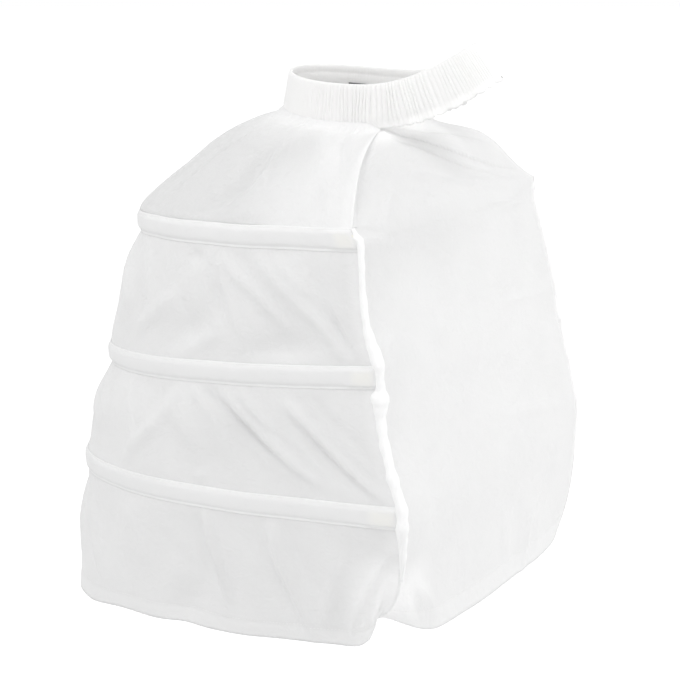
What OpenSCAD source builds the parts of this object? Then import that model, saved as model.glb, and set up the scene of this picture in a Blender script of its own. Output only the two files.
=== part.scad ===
// Crinoline cage of the bustle kind. A gathered elastic waist loop carries a hooped skirt
// behind the wearer: a yoke, a back skirt held out by three half hoops in sewn casings,
// and a flat front panel that joins the two ends of every hoop.
// Millimetres, +Z up, origin at the centre of the waist loop. The wearer faces -Y.

/* [Waistband] */
// Height of the gathered waistband
band_height = 48; // [36:1:60]
// Front-to-back length of the relaxed waist loop
loop_length = 246; // [210:2:300]
// Side-to-side width at the middle of the loop
loop_width = 116; // [100:2:160]
// Share by which the loop is fuller at the back than at the front
loop_egg = 0.4; // [0:0.05:0.45]
// Rise of the free front of the band
band_front_rise = 46; // [0:1:56]
// Rise of the back of the band
band_back_rise = 10; // [0:1:20]
// Height of one side of the loop above the other
band_lean = 10; // [0:1:24]
// Angle by which the back of the band flares outward at its lower edge
band_flare = 2; // [0:1:25]
// Number of gathers round the band
gather_count = 88; // [48:4:96]
// Depth of one gather in the free front of the band, which fades to nothing at the back
gather_depth = 1.8; // [0.6:0.1:2.4]
// Extra flare of the frilled lower edge of the band
frill_flare = 1.8; // [0:0.1:3]
// Height of the frill below the lowest row of stitches
frill_height = 6; // [4:0.5:10]
// Width of the flat elastic inside the band
elastic_width = 30; // [16:1:32]
// Thickness of the flat elastic
elastic_thickness = 1.8; // [1:0.1:2.4]
// Angle of the loop, each way from the back, that the yoke is sewn to
yoke_angle = 97; // [80:1:110]

/* [Hoops] */
// Width of the upper hoop between its two ends
upper_width = 502; // [440:2:540]
// Depth of the upper hoop from its ends to its back
upper_depth = 366; // [320:2:400]
// Drop from the waist centre to the ends of the upper hoop
upper_below_waist = 123; // [105:1:150]
// Width of the middle hoop between its two ends
middle_width = 512; // [460:2:560]
// Depth of the middle hoop from its ends to its back
middle_depth = 440; // [400:2:470]
// Drop from the upper hoop to the middle hoop
middle_below_upper = 140; // [110:1:170]
// Width of the lower hoop between its two ends
lower_width = 540; // [480:2:580]
// Depth of the lower hoop from its ends to its back
lower_depth = 508; // [470:2:540]
// Drop from the middle hoop to the lower hoop
lower_below_middle = 142; // [110:1:170]
// Squareness of the hoops in plan, where 2 is a plain ellipse
hoop_squareness = 2.52; // [2:0.01:3]
// Width of the flat hoop strip
strip_width = 12; // [8:0.5:14]
// Thickness of the flat hoop strip
strip_thickness = 1.6; // [0.8:0.1:2]
// Distance from the skirt's front edge to the end of a hoop strip
strip_setback = 12; // [8:1:20]
// Wall of the plastic tip on each end of a hoop strip
tip_wall = 0.8; // [0.6:0.1:1.2]
// Length of the plastic tip
tip_length = 18; // [14:1:20]
// Width of the sewn casing that holds a hoop
casing_width = 24; // [24:1:34]

/* [Skirt] */
// Thickness of the doubled cloth
cloth = 1; // [0.8:0.1:1.4]
// Width of the hem between the two side seams
hem_width = 482; // [440:2:540]
// Depth of the hem from the front panel to its back
hem_depth = 520; // [490:2:560]
// Drop from the lower hoop to the hem
hem_below_lower = 152; // [110:1:180]
// Upward bulge of the yoke between the waist and the upper hoop
yoke_bulge = 12; // [0:1:20]
// Fullness of that bulge near the waist and the hoop, where 1 is a plain arch and 0.4 is almost boxy
yoke_roundness = 0.5; // [0.4:0.05:1]
// Depth of the soft folds that run down the yoke
yoke_fold_depth = 3; // [0:0.5:5]
// Number of folds round the yoke
yoke_fold_count = 4; // [2:1:6]
// Outward puff of the cloth between two hoops
tier_puff = 3; // [-6:0.5:8]
// Depth of the slanting drag folds between two hoops
drag_depth = 4; // [0:0.5:6]
// Number of drag folds round a tier
drag_count = 5; // [2:1:6]
// Height of the turned-up hem
hem_turn = 18; // [10:1:30]
// Distance by which the left side seam curves back between two hoops
left_sag = 4; // [0:1:16]
// Distance by which the right side seam curves back between two hoops
right_sag = 11; // [0:1:16]
// Rise of the hem where the left side seam draws it up
left_pucker = 9; // [0:1:36]
// Rise of the hem where the right side seam draws it up
right_pucker = 26; // [0:1:36]
// Forward bow of the front panel at its middle
panel_bow = 12; // [0:1:20]
// Depth of the slanting folds at the top of the front panel
fan_depth = 3; // [0:0.5:5]
// Width of the bound side seam, seen from the front
binding_width = 12; // [8:0.5:16]
// Thickness of the bound side seam
binding_depth = 5; // [4:0.5:8]

/* [Front edge] */
// Distance of the upper hoop's ends in front of the waist centre
upper_forward = 86; // [60:1:110]
// Distance of the middle hoop's ends in front of the waist centre
middle_forward = 111; // [90:1:140]
// Distance of the lower hoop's ends in front of the waist centre
lower_forward = 143; // [115:1:165]
// Distance of the front panel's hem in front of the waist centre
hem_forward = 134; // [100:1:160]
// Fall of the upper hoop from its ends to its back
upper_fall = 15; // [0:1:40]
// Fall of the middle hoop from its ends to its back
middle_fall = 36; // [0:1:60]
// Fall of the lower hoop from its ends to its back
lower_fall = 25; // [0:1:60]
// Fall of the hem from the front panel to its back
hem_fall = 43; // [0:1:70]

/* [Label] */
// Width of the blank woven label
label_width = 18; // [12:1:30]
// Height of the blank woven label
label_height = 24; // [16:1:30]
// Angle of the label round the loop, from the back
label_angle = 58; // [20:1:90]

/* [Hidden] */

// Clearance between pieces that are sewn or slid together
sewing_gap = 0.3;
// Thickness of the label
label_thickness = 0.6;
// Length of yoke cloth tucked up between the two layers of the band
yoke_tuck = 8;
// Drop below the band at which the yoke turns outward
yoke_leave = 1.5 * cloth;
// Reach of a drawn side seam into the cloth beside it
pucker_reach = 40;
// Share of the flounce in which the cloth thickens to its hem
hem_step = 0.01;
// Share by which columns of cloth points crowd towards the side seams
end_crowding = 0.7;
// Drop of the label below the middle of the band
label_drop = 8;

// Counts of faces
cloth_columns = 40;
panel_columns = 16;
tier_rows = 4;
yoke_rows = 5;
elastic_columns = 72;
binding_sides = 8;

// A level is [height, width, depth, forward, fall] of one hoop or of the hem
upper_level = [-upper_below_waist, upper_width, upper_depth, upper_forward, upper_fall];
middle_level = [upper_level[0] - middle_below_upper, middle_width, middle_depth, middle_forward, middle_fall];
lower_level = [middle_level[0] - lower_below_middle, lower_width, lower_depth, lower_forward, lower_fall];
hem_level = [lower_level[0] - hem_below_lower, hem_width, hem_depth, hem_forward, hem_fall];

channel = elastic_thickness + 2 * sewing_gap;
tip_thickness = strip_thickness + 2 * (tip_wall + sewing_gap);
strip_out = cloth / 2 + sewing_gap + tip_thickness / 2;
casing_edge_out = cloth + sewing_gap;
casing_crown_out = cloth + 2 * sewing_gap + tip_thickness;

cloth_white = [0.93, 0.93, 0.93];
band_white = [0.96, 0.955, 0.945];
seam_white = [0.98, 0.98, 0.98];
strip_grey = [0.75, 0.76, 0.77];
tip_cream = [0.91, 0.9, 0.83];
label_grey = [0.35, 0.35, 0.36];

function mix(a, b, share) = a + (b - a) * share;
function unit(v) = v / norm(v);
function within_one(x) = min(1, max(0, x));
function steps(count) = [for (i = [0 : count]) i / count - end_crowding * sin(360 * i / count) / (2 * PI)];

// The waist loop, seen from above, at angle q from the back
function loop_plan(q) =
    [loop_width / 2 * sin(q) * (1 + loop_egg * cos(q)), loop_length / 2 * cos(q)];
function loop_rise(y) = (y < 0 ? band_front_rise : band_back_rise) * pow(2 * y / loop_length, 2);
function loop_slope(y) = (y < 0 ? band_front_rise : band_back_rise) * 8 * y / pow(loop_length, 2);
function loop_outward(q) =
    let (along = loop_plan(q + 1) - loop_plan(q - 1))
    unit([-along.y, along.x, 0]);

// A point of the band: out from the middle of its thickness, up from the middle of its height
function gather_height(q) = gather_depth * within_one(1 - cos(q));
function loop_flare(q) = band_flare * (1 + cos(q)) / 2;
function band_point(q, out, up) =
    let (p = loop_plan(q), n = loop_outward(q), flare = loop_flare(q),
         upright = unit([0, -loop_slope(p.y), 1]))
    [p.x, p.y, loop_rise(p.y) + band_lean * p.x / loop_width]
    + out * unit(n + tan(flare) * upright) + up * unit(upright - tan(flare) * n);

// The outline of a hoop from its left end, t = 0, round the back to its right end, t = 1
function hoop_power() = 2 / hoop_squareness;
function hoop_plan(level, t) =
    [level[1] / 2 * sign(cos(180 * t)) * pow(abs(cos(180 * t)), hoop_power()),
     level[2] * pow(sin(180 * t), hoop_power())];
function hoop_outward(level, t) =
    unit([sign(cos(180 * t)) * pow(abs(cos(180 * t)), 2 - hoop_power()) * 2 / level[1],
          pow(sin(180 * t), 2 - hoop_power()) / level[2]]);
function hoop_tilt(level) = asin(level[4] / level[2]);

// A point near a hoop: up from its middle, out from the cloth's middle
function ring_point(level, t, up, out) =
    let (p = hoop_plan(level, t) + out * hoop_outward(level, t), tilt = hoop_tilt(level))
    [p.x, p.y * cos(tilt) + up * sin(tilt) - level[3], level[0] - p.y * sin(tilt) + up * cos(tilt)];

// Nearness to a side seam, from 1 at the seam to 0 well away from it
function nearness(distance) = exp(-pow(distance / pucker_reach, 2));

// Cloth between two levels, at a share of the way down
function drag_fold(t, share) =
    drag_depth * sin(180 * share) * sin(180 * t) * cos(360 * (drag_count * t - share / 2));
function tier_point(above, below, t, share) =
    let (n = hoop_outward(below, t), puff = tier_puff * sin(180 * share) * sin(180 * t),
         sag = (t < 0.5 ? left_sag : right_sag) * nearness(hoop_plan(below, t).y) * sin(180 * share))
    mix(ring_point(above, t, -casing_width / 2, 0), ring_point(below, t, casing_width / 2, 0), share)
    + (puff + drag_fold(t, share)) * [n.x, n.y, 0] + [0, sag, 0];

// The flounce hangs from the lower hoop and is drawn up and back at the foot of each side seam
function drawn_up(amount, share) = amount * pow(share, 3) * [0, 1, 1];
function flounce_point(t, share) =
    let (n = hoop_outward(hem_level, t), pucker = t < 0.5 ? left_pucker : right_pucker)
    mix(ring_point(lower_level, t, -casing_width / 2, 0), ring_point(hem_level, t, 0, 0), share)
    + drawn_up(pucker * nearness(hoop_plan(hem_level, t).y), share)
    + (tier_puff + drag_fold(t, share / 2)) * sin(180 * t) * sin(90 * share) * [n.x, n.y, 0];

// The yoke, from the band down to the upper hoop
function yoke_sewn_angle(t) = yoke_angle * (1 - 2 * t);
function yoke_point(t, share) =
    let (n = hoop_outward(upper_level, t),
         fold = yoke_fold_depth * sin(180 * t) * cos(360 * yoke_fold_count * t + 90 * share),
         swell = (yoke_bulge * (1.6 - 0.6 * sin(180 * t)) + fold) * pow(sin(180 * share), yoke_roundness))
    mix(band_point(yoke_sewn_angle(t), 0, -band_height / 2 - yoke_leave),
        ring_point(upper_level, t, casing_width / 2, 0), share)
    + swell * unit([n.x, n.y, 1]);

// Rows of cloth points, from the waist down
function ring_row(level, up, out) = [for (t = steps(cloth_columns)) ring_point(level, t, up, out)];
function tier_row(above, below, share) =
    [for (t = steps(cloth_columns)) tier_point(above, below, t, share)];
function inner_shares(count) = [for (i = [1 : count - 1]) i / count];

// The last two rows of the flounce are the turned-up hem, just below a row of single cloth
hem_line = 1 - hem_turn / hem_below_lower;
flounce_shares = concat(inner_shares(tier_rows) * hem_line, [hem_line - hem_step, hem_line, 1]);
tuck_row = [for (t = steps(cloth_columns))
    band_point(yoke_sewn_angle(t), 0, yoke_tuck - band_height / 2)];
yoke_grid = [for (i = [0 : yoke_rows])
    [for (t = steps(cloth_columns)) yoke_point(t, i / yoke_rows)]];
skirt_grid = concat(
    [ring_row(upper_level, -sewing_gap, 0), ring_row(upper_level, -casing_width / 2, 0)],
    [for (share = inner_shares(tier_rows)) tier_row(upper_level, middle_level, share)],
    [for (up = [1, 0, -1]) ring_row(middle_level, up * casing_width / 2, 0)],
    [for (share = inner_shares(tier_rows)) tier_row(middle_level, lower_level, share)],
    [for (up = [1, 0, -1]) ring_row(lower_level, up * casing_width / 2, 0)],
    [for (share = flounce_shares) [for (t = steps(cloth_columns)) flounce_point(t, share)]]);

// The front panel lies between the two front edges of the yoke and the skirt
edge_rows = concat(yoke_grid, skirt_grid);
panel_inset = 1.5 * cloth + sewing_gap;
function panel_end(i, column) =
    edge_rows[i][column] + panel_inset * grid_normal(edge_rows, i, column) + [0, cloth / 2, 0];
function fan_fold(u, down) =
    down > 1 ? 0 : fan_depth * sin(180 * down) * sin(180 * u) * cos(720 * (u + down));
function panel_point(i, u, down) =
    mix(panel_end(i, 0), panel_end(i, cloth_columns), u)
    - [0, panel_bow * min(down, 1) * sin(180 * u) + fan_fold(u, down), 0];
// The panel's hem hangs free of the drawn-up seams away from its two ends
function hem_share(i) =
    let (j = i - len(edge_rows) + len(flounce_shares))
    j < 0 ? 0 : flounce_shares[j];
function hem_slack(u) = mix(left_pucker, right_pucker, u)
    - left_pucker * nearness(hem_width * u) - right_pucker * nearness(hem_width * (1 - u));
panel_grid = [for (i = [0 : len(edge_rows) - 1])
    [for (u = steps(panel_columns))
        panel_point(i, u, i / yoke_rows) - drawn_up(hem_slack(u), hem_share(i))]];

// A sheet of cloth on a grid of points, with a thickness for each row
function even_rows(grid) = [for (points = grid) cloth];
function hemmed_rows(grid) = [for (r = [0 : len(grid) - 1]) r < len(grid) - 2 ? cloth : 2 * cloth];
function grid_normal(grid, r, c) =
    let (last_r = len(grid) - 1, last_c = len(grid[0]) - 1,
         down = grid[min(r + 1, last_r)][c] - grid[max(r - 1, 0)][c],
         along = grid[r][min(c + 1, last_c)] - grid[r][max(c - 1, 0)])
    unit(cross(along, down));
function quad(a, b, c, d) = [[a, b, c], [a, c, d]];
function flat(list) = [for (part = list) each part];

module sheet(grid, thicknesses) {
    rows = len(grid);
    columns = len(grid[0]);
    count = rows * columns;
    function at(r, c, side) = side * count + r * columns + c;
    points = [for (side = [1, -1], r = [0 : rows - 1], c = [0 : columns - 1])
        grid[r][c] + side * thicknesses[r] / 2 * grid_normal(grid, r, c)];
    skins = [for (r = [0 : rows - 2], c = [0 : columns - 2]) each concat(
        quad(at(r, c, 0), at(r + 1, c, 0), at(r + 1, c + 1, 0), at(r, c + 1, 0)),
        quad(at(r, c, 1), at(r, c + 1, 1), at(r + 1, c + 1, 1), at(r + 1, c, 1)))];
    level_edges = [for (c = [0 : columns - 2]) each concat(
        quad(at(0, c, 0), at(0, c + 1, 0), at(0, c + 1, 1), at(0, c, 1)),
        quad(at(rows - 1, c, 1), at(rows - 1, c + 1, 1), at(rows - 1, c + 1, 0), at(rows - 1, c, 0)))];
    upright_edges = [for (r = [0 : rows - 2]) each concat(
        quad(at(r, 0, 0), at(r, 0, 1), at(r + 1, 0, 1), at(r + 1, 0, 0)),
        quad(at(r, columns - 1, 1), at(r, columns - 1, 0),
             at(r + 1, columns - 1, 0), at(r + 1, columns - 1, 1)))];
    polyhedron(points, concat(skins, level_edges, upright_edges));
}

// A section carried along a path, closed into a loop or capped at both ends
module swept(sections, closed) {
    count = len(sections);
    sides = len(sections[0]);
    function at(i, k) = (i % count) * sides + k % sides;
    walls = [for (i = [0 : count - (closed ? 1 : 2)], k = [0 : sides - 1]) each
        quad(at(i, k), at(i, k + 1), at(i + 1, k + 1), at(i + 1, k))];
    first_cap = [for (k = [sides - 1 : -1 : 0]) at(0, k)];
    last_cap = [for (k = [0 : sides - 1]) at(count - 1, k)];
    caps = closed ? [] : [first_cap, last_cap];
    polyhedron(flat(sections), concat(walls, caps));
}

// The band's cloth folded over its elastic, with gathers in both layers and a frilled lower edge
module waistband() {
    columns = 2 * gather_count;
    half = band_height / 2;
    face = channel / 2 + cloth;
    function free_share(q) = within_one((180 - yoke_angle - abs(abs(q) - 180)) / 20);
    function section(i) =
        let (q = -360 * i / columns, ridge = i % 2, g = ridge * gather_height(q),
             frill = g + ridge * frill_flare * free_share(q))
        [for (p = [
            [channel / 2, -half],
            [face + frill, -half],
            [face + g / 2, frill_height - half],
            [face + g, 0],
            [face + g / 2, half - cloth],
            [0, half + g / 2],
            [-face - g / 2, half - cloth],
            [-face - g, 0],
            [-face - g / 2, -half],
            [-channel / 2, -half],
            [-channel / 2, half - 2 * cloth],
            [channel / 2, half - 2 * cloth]])
            band_point(q, p.x, p.y)];
    color(band_white) swept([for (i = [0 : columns - 1]) section(i)], true);
}

// The flat elastic in the band's channel
module waist_elastic() {
    top = band_height / 2 - 2 * cloth - sewing_gap;
    corners = [[-1, 0], [1, 0], [1, -1], [-1, -1]];
    color(seam_white) swept([for (i = [0 : elastic_columns - 1])
        [for (k = corners) band_point(-360 * i / elastic_columns,
            -k.x * elastic_thickness / 2, top + k.y * elastic_width)]], true);
}

// A blank label sewn inside the band
module size_label() {
    sag = pow(label_width, 2) / (4 * loop_width);
    inside = channel / 2 + cloth + gather_height(label_angle) + sewing_gap + sag + label_thickness / 2;
    face = loop_outward(label_angle);
    color(label_grey) translate(band_point(label_angle, -inside, -label_drop))
        rotate([0, -loop_flare(label_angle), atan2(face.y, face.x)])
        cube([label_thickness, label_width, label_height], center = true);
}

module back_yoke() {
    grid = concat([tuck_row], yoke_grid, [ring_row(upper_level, sewing_gap, 0)]);
    color(cloth_white) sheet(grid, even_rows(grid));
}

module back_skirt() {
    color(cloth_white) sheet(skirt_grid, hemmed_rows(skirt_grid));
}

module front_panel() {
    color(cloth_white) sheet(panel_grid, hemmed_rows(panel_grid));
}

// A strip of cloth sewn over a hoop, flat along both edges and raised over the strip
module casing(level) {
    profile = [[0.5, casing_edge_out], [0.31, casing_crown_out], [-0.31, casing_crown_out],
               [-0.5, casing_edge_out]];
    grid = [for (p = profile) ring_row(level, p[0] * casing_width, p[1])];
    color(cloth_white) sheet(grid, even_rows(grid));
}

// Puts a piece drawn flat in a hoop's own plane at that hoop's place
module at_level(level) {
    translate([0, -level[3], level[0]]) rotate([-hoop_tilt(level), 0, 0]) children();
}

// A flat strip bent to the hoop's outline and cut short of the skirt's front edge
module hoop(level) {
    function side(out) = [for (t = steps(cloth_columns))
        hoop_plan(level, t) + out * hoop_outward(level, t)];
    inner = side(strip_out - strip_thickness / 2);
    outer = side(strip_out + strip_thickness / 2);
    color(strip_grey) at_level(level) difference() {
        linear_extrude(strip_width, center = true)
            polygon(concat(outer, [for (i = [cloth_columns : -1 : 0]) inner[i]]));
        translate([-level[1], -level[2], -strip_width])
            cube([2 * level[1], level[2] + strip_setback, 2 * strip_width]);
    }
}

// A round-ended plastic sleeve on one end of a hoop strip, left for side 1 and right for side -1
module tip(level, side) {
    slot_width = strip_width + sewing_gap;
    outer_width = slot_width + 2 * tip_wall;
    color(tip_cream) at_level(level)
        translate([side * (level[1] / 2 + strip_out), strip_setback - tip_wall, 0]) difference() {
            rotate([90, 0, 90]) linear_extrude(tip_thickness, center = true) {
                translate([0, -outer_width / 2]) square([tip_length, outer_width]);
                intersection() {
                    circle(d = outer_width, $fn = 48);
                    translate([-strip_setback / 2, -outer_width / 2])
                        square([strip_setback / 2, outer_width]);
                }
            }
            translate([-strip_thickness / 2 - sewing_gap, tip_wall - sewing_gap / 2, -slot_width / 2])
                cube([strip_thickness + 2 * sewing_gap, tip_length, slot_width]);
        }
}

// The bound seam that joins the back skirt to the front panel, from the upper hoop to below the lower one
module side_binding(column) {
    bound_rows = len(skirt_grid) - len(flounce_shares) + 2;
    bunched_row = tier_rows + 3;
    path = [for (i = [0 : bound_rows - 1]) skirt_grid[i][column]];
    function fullness(i) = i == 0 || i == bound_rows - 1 ? 0.5 : i == bunched_row ? 1.3 : 1;
    function section(i) = [for (k = [0 : binding_sides - 1])
        let (a = 360 * k / binding_sides)
        path[i] + [fullness(i) * binding_width / 2 * cos(a),
                   fullness(i) * binding_depth / 2 * (sin(a) - 1) - sewing_gap, 0]];
    color(seam_white) swept([for (i = [0 : bound_rows - 1]) section(i)], false);
}

waistband();
waist_elastic();
size_label();
back_yoke();
back_skirt();
front_panel();
casing(upper_level);  // upper_casing
casing(middle_level);  // middle_casing
casing(lower_level);  // lower_casing
hoop(upper_level);  // upper_hoop
hoop(middle_level);  // middle_hoop
hoop(lower_level);  // lower_hoop
tip(upper_level, 1);  // upper_left_tip
tip(upper_level, -1);  // upper_right_tip
tip(middle_level, 1);  // middle_left_tip
tip(middle_level, -1);  // middle_right_tip
tip(lower_level, 1);  // lower_left_tip
tip(lower_level, -1);  // lower_right_tip
side_binding(0);  // left_side_binding
side_binding(cloth_columns);  // right_side_binding
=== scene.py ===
# %% [markdown]
# # A bustle cage of white cloth
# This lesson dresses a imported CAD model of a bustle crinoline: a gathered elastic waist loop that carries a
# yoke and a hooped back skirt, closed in front by a plain panel. The CAD gives every size. Here each stiff
# cloth solid is replaced by thin cloth with the folds, gathers, stitches and seams of the real thing.

# %% Load the frame and keep its box
import math

import bpy
import numpy as np
from mathutils import Matrix, Vector


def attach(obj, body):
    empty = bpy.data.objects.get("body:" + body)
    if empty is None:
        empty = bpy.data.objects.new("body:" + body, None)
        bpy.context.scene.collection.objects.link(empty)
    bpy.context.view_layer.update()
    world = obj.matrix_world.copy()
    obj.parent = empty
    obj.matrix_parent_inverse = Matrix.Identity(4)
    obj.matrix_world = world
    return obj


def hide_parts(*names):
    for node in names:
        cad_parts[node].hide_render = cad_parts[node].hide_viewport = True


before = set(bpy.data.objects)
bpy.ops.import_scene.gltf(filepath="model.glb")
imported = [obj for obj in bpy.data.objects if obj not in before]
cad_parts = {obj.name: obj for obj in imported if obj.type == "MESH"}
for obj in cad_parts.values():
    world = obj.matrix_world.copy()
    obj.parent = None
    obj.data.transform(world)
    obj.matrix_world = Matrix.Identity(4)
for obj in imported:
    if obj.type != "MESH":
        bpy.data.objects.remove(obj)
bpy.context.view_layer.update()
bpy.ops.object.select_all(action="DESELECT")

# %% [markdown]
# ## The camera
# The picture was taken from the wearer's right and a little in front, slightly above the hoops. A camera can
# be aimed by hand or with a Track To constraint. Here three perpendicular directions are built from the two
# viewing angles, because they also help to place the lamps.

# %% Aim the camera
aim = Vector((0, 0.060, -0.286))
azimuth = math.radians(-63.8)
elevation = math.radians(11.6)
camera_distance = 2.244
lens_length = 100.6
to_camera = Vector((math.sin(azimuth) * math.cos(elevation),
                    -math.cos(azimuth) * math.cos(elevation), math.sin(elevation)))
picture_right = Vector((math.cos(azimuth), math.sin(azimuth), 0))
picture_up = to_camera.cross(picture_right)
bpy.ops.object.camera_add(location=aim + to_camera * camera_distance)
camera = bpy.context.object
camera.rotation_euler = Matrix((picture_right, picture_up, to_camera)).transposed().to_euler()
camera.data.lens = lens_length
bpy.context.scene.camera = camera
bpy.context.scene.view_settings.view_transform = "Standard"
print("camera at", [round(v, 3) for v in camera.location])

# %% [markdown]
# ## Node helpers
# Every finish below is a small network of shader nodes. Two helpers keep those networks short: one starts an
# empty material with its Principled shader, the other adds a node, sets its values and links its inputs.

# %% Two helpers for materials
def new_finish(name):
    finish = bpy.data.materials.new(name)
    finish.use_nodes = True
    shader = finish.node_tree.nodes["Principled BSDF"]
    return finish, finish.node_tree, shader


def add_node(tree, kind, links=(), **values):
    node = tree.nodes.new(kind)
    for key, value in values.items():
        if hasattr(node, key):
            setattr(node, key, value)
        else:
            node.inputs[key.replace("_", " ")].default_value = value
    for socket, source in dict(links).items():
        tree.links.new(source, node.inputs[socket])
    return node


# %% [markdown]
# ## Floor, world and lamps
# White cloth on a white ground shows its folds only if the light has a direction. A soft key lamp stands high
# on the camera's left, a second lamp comes from the picture's right and a third from above, and a white world
# fills the shadows. The floor lies well below the hem. It glows a little for the rays that show it, so that it
# reads as white paper and still takes a soft shadow.

# %% Make the floor
floor_level = -1.05
paper_glow = 0.4


def shown_rays(tree):
    rays = add_node(tree, "ShaderNodeLightPath")
    straight = add_node(tree, "ShaderNodeMath", operation="MAXIMUM",
                        links={0: rays.outputs["Is Camera Ray"], 1: rays.outputs["Is Glossy Ray"]})
    every = add_node(tree, "ShaderNodeMath", operation="MAXIMUM",
                     links={0: straight.outputs[0], 1: rays.outputs["Is Transmission Ray"]})
    return every.outputs[0]


bpy.ops.mesh.primitive_circle_add(vertices=96, radius=40, fill_type="NGON", location=(0, 0, floor_level))
floor = bpy.context.object
floor.name = "floor"
paper, paper_tree, paper_shader = new_finish("floor_paper")
paper_shader.inputs["Base Color"].default_value = (0.9, 0.9, 0.9, 1)
paper_shader.inputs["Roughness"].default_value = 1.0
glow = add_node(paper_tree, "ShaderNodeMath", operation="MULTIPLY", links={0: shown_rays(paper_tree)})
glow.inputs[1].default_value = paper_glow
paper_shader.inputs["Emission Color"].default_value = (1, 1, 1, 1)
paper_tree.links.new(glow.outputs[0], paper_shader.inputs["Emission Strength"])
floor.data.materials.append(paper)
print("floor at", round(floor.location.z, 2))

# %% Set the world and the lamps
world = bpy.data.worlds.new("studio")
world.use_nodes = True
bpy.context.scene.world = world
sky = world.node_tree.nodes["Background"]
sky.inputs["Color"].default_value = (1, 1, 1, 1)
world_fill = 0.79
level = add_node(world.node_tree, "ShaderNodeMapRange", links={0: shown_rays(world.node_tree)},
                 To_Min=world_fill, To_Max=1.0)
world.node_tree.links.new(level.outputs[0], sky.inputs["Strength"])


def soft_lamp(name, right, up, forward, size, watts):
    place = aim + picture_right * right + picture_up * up + to_camera * forward
    bpy.ops.object.light_add(type="AREA", location=place)
    lamp = bpy.context.object
    lamp.name = name
    lamp.data.shape = "DISK"
    lamp.data.size = size
    lamp.data.energy = watts
    lamp.rotation_euler = (place - aim).to_track_quat("Z", "Y").to_euler()
    return lamp


key_lamp = soft_lamp("key_lamp", -0.9, 1.5, 1.9, 1.1, 17)
side_lamp = soft_lamp("side_lamp", 2.4, 0.6, 0.7, 1.2, 15.4)
top_lamp = soft_lamp("top_lamp", 0.8, 2.3, 1.5, 1.4, 6.4)
print("lamps:", key_lamp.name, side_lamp.name, top_lamp.name)

# %% [markdown]
# ## The cage's measures
# The CAD model is drawn from a few named sizes: for each hoop its height, width, depth, how far its ends lie
# in front of the waist, and how much its back hangs down. The same numbers in metres give the same surface
# here, only on a much finer grid. Two small values are added from the real cage: the near end of the upper
# casing slants, and the far end of the middle one reaches a little further forward.

# %% Sizes of the hoops and the waist loop
# Each level: height, width, depth, how far forward, how far its back falls.
levels = {
    "upper": (-0.123, 0.502, 0.366, 0.086, 0.015),
    "middle": (-0.263, 0.512, 0.440, 0.111, 0.036),
    "lower": (-0.405, 0.540, 0.508, 0.143, 0.025),
    "hem": (-0.557, 0.482, 0.520, 0.134, 0.043),
}
squareness = 2 / 2.52
casing_half = 0.012
near_end_slant = 0.008
far_end_reach = 0.006
band_half = 0.024
loop_length, loop_width, loop_egg = 0.242, 0.116, 0.4
front_rise, back_rise, loop_lean = 0.046, 0.010, 0.010
flare_at_back = math.radians(2)
yoke_reach = math.radians(97)


def unit(vectors):
    return vectors / np.maximum(np.linalg.norm(vectors, axis=-1, keepdims=True), 1e-12)


def soft_step(x):
    x = np.clip(x, 0, 1)
    return x * x * (3 - 2 * x)


# %% [markdown]
# ## Lengths along a line
# Cloth is measured along its surface. These helpers give the length walked along a line or down the rows of a
# grid, the point at a given length, and a line with its corners eased.

# %% Helpers for lines
def run_along(line):
    return np.concatenate([[0], np.cumsum(np.linalg.norm(np.diff(line, axis=0), axis=-1))])


def rows_down(grid):
    return np.concatenate([[0], np.cumsum(np.linalg.norm(np.diff(grid, axis=0), axis=-1).mean(1))])


def walk(line, run, place):
    return np.stack([np.interp(place, run, line[:, k]) for k in range(line.shape[1])], -1)


def eased(line, passes):
    line = line.copy()
    for _ in range(passes):
        line[1:-1] = (line[:-2] + 2 * line[1:-1] + line[2:]) / 4
    return line


# %% [markdown]
# ## Points on the cage
# A hoop is half of a rounded square seen from above. `ring` gives a point near a hoop, `band` a point near
# the waist loop. Between two hoops the cloth runs almost straight, so the functions for the yoke, the tiers
# and the flounce mix the rows above and below.

# %% Points on a hoop and on the waist loop
def hoop_outward(name, t):
    width, depth = levels[name][1:3]
    c, s = np.cos(np.pi * t), np.abs(np.sin(np.pi * t))
    return unit(np.stack([np.sign(c) * np.abs(c) ** (2 - squareness) * 2 / width,
                          s ** (2 - squareness) / depth, np.zeros_like(c)], -1))


def ring(name, t, up=0.0, out=0.0):
    height, width, depth, forward, fall = levels[name]
    c, s = np.cos(np.pi * t), np.abs(np.sin(np.pi * t))
    n = hoop_outward(name, t)
    x = width / 2 * np.sign(c) * np.abs(c) ** squareness + out * n[..., 0]
    inward = depth * s ** squareness
    y = inward + out * n[..., 1]
    if name == "upper":
        slant = soft_step((up + 0.004) / 0.016) * np.exp(-(inward / 0.06) ** 2)
        y = y + near_end_slant * slant * (t > 0.5)
    if name == "middle":
        y = y - far_end_reach * np.exp(-(inward / 0.08) ** 2) * (t < 0.5)
    tilt = math.asin(fall / depth)
    return np.stack([x, y * math.cos(tilt) + up * math.sin(tilt) - forward,
                     height - y * math.sin(tilt) + up * math.cos(tilt)], -1)


def loop_plan(q):
    return np.stack([loop_width / 2 * np.sin(q) * (1 + loop_egg * np.cos(q)),
                     loop_length / 2 * np.cos(q), np.zeros_like(q)], -1)


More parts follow.
